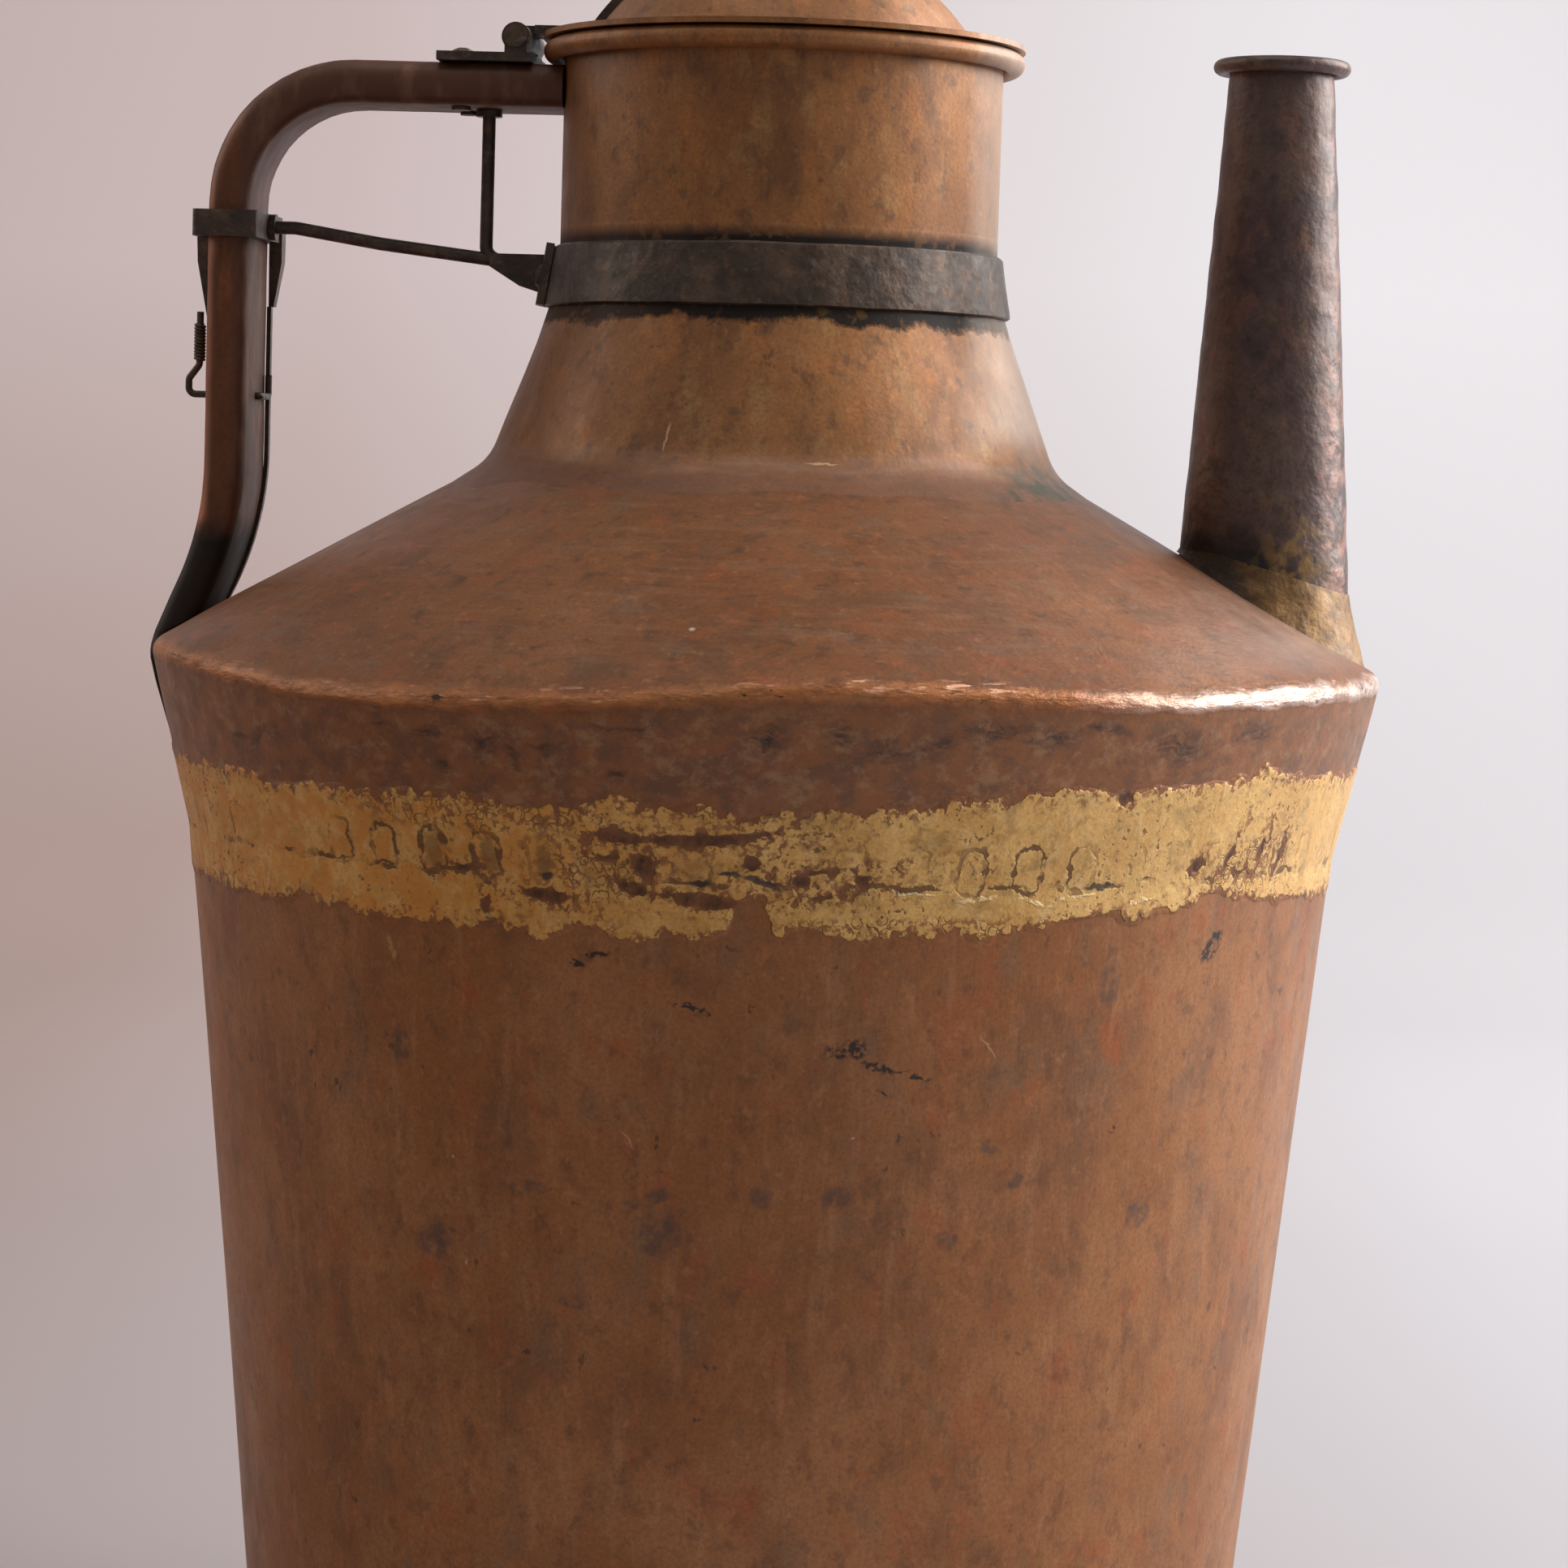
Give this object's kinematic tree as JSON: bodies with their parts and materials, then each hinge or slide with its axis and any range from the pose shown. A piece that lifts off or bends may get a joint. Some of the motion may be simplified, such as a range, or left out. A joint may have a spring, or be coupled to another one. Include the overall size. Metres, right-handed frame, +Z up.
{
  "type": "pitcher",
  "caption": "Tall tapered copper pitcher with a conical shoulder, narrow neck, hinged domed lid, upright tube spout and a riveted side handle braced to an iron collar.",
  "frame": {"origin": "centre of the round base, on its flat underside", "axes": "+Z up along the body's axis, -X towards the handle, +X towards the spout"},
  "size_m": [0.2825, 0.28, 0.4645],
  "materials": {
    "copper": "aged hammered copper, brown patina, satin",
    "brass": "dull yellow brass spelter, rough",
    "iron": "forged iron, dark grey-brown, dry rust"
  },
  "bodies": {
    "vessel": {"base_pan": "copper", "body_drum": "copper", "shoulder": "copper", "seam_brazing": "brass", "neck": "copper", "mouth_rim": "copper", "neck_collar": "iron", "collar_arm": "iron", "arm_rivets": "iron", "handle": "copper", "handle_seam": "iron", "handle_clasp": "iron", "handle_wire": "iron", "wire_coil": "iron", "tail_rivets": "copper", "spout": "copper", "spout_sleeve": "brass", "spout_lip": "copper", "hinge_bracket": "iron", "bracket_rivets": "iron", "hinge_pin": "iron"},
    "lid": {"lid": "copper", "lid_flange": "copper", "lid_finial": "brass", "finial_washer": "copper", "lid_leaf": "iron", "leaf_rivets": "iron"}
  },
  "joints": [
    {"name": "lid_hinge", "type": "hinge", "parent": "vessel", "child": "lid", "pos_m": [-0.06, 0, 0.40514], "axis": [0, -1, 0], "range_deg": [0, 148]}
  ]
}
